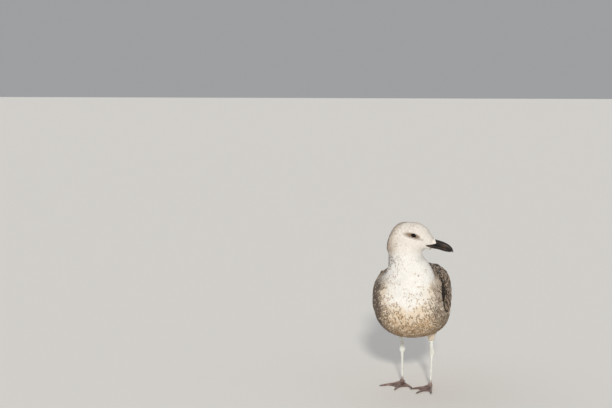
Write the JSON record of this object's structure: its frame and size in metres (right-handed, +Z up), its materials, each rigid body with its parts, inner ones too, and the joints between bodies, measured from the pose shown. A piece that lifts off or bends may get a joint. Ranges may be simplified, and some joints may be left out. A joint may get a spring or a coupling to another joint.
{
  "type": "standing immature gull model",
  "caption": "Life-size still model of an immature large gull standing upright with folded wings, its head turned to its left and its bill level.",
  "frame": {"origin": "on the floor, under the middle of the bird's box", "axes": "the bird faces -Y, its tail points to +Y, its left side is +X, +Z is up; its head and bill point to +X"},
  "size_m": [0.1828, 0.47, 0.3766],
  "materials": {
    "plumage": "white feathers mottled brown",
    "wing": "dark grey-brown feathers with pale edges",
    "tail": "white feathers with a dark band",
    "bill": "black horn, semi-matt",
    "eye": "wet dark brown",
    "leg": "scaly skin, pale pinkish grey",
    "foot": "scaly skin, dull mauve grey",
    "claw": "black horn"
  },
  "bodies": {
    "root": {"head": "plumage", "neck": "plumage", "trunk": "plumage", "bill_upper": "bill", "bill_lower": "bill", "tail": "tail", "eye_left": "eye", "wing_left": "wing", "thigh_left": "plumage", "shin_left": "leg", "tarsus_left": "leg", "foot_left": "foot", "claw_left_outer": "claw", "claw_left_middle": "claw", "claw_left_inner": "claw", "claw_left_hind": "claw", "eye_right": "eye", "wing_right": "wing", "thigh_right": "plumage", "shin_right": "leg", "tarsus_right": "leg", "foot_right": "foot", "claw_right_outer": "claw", "claw_right_middle": "claw", "claw_right_inner": "claw", "claw_right_hind": "claw"}
  },
  "joints": []
}
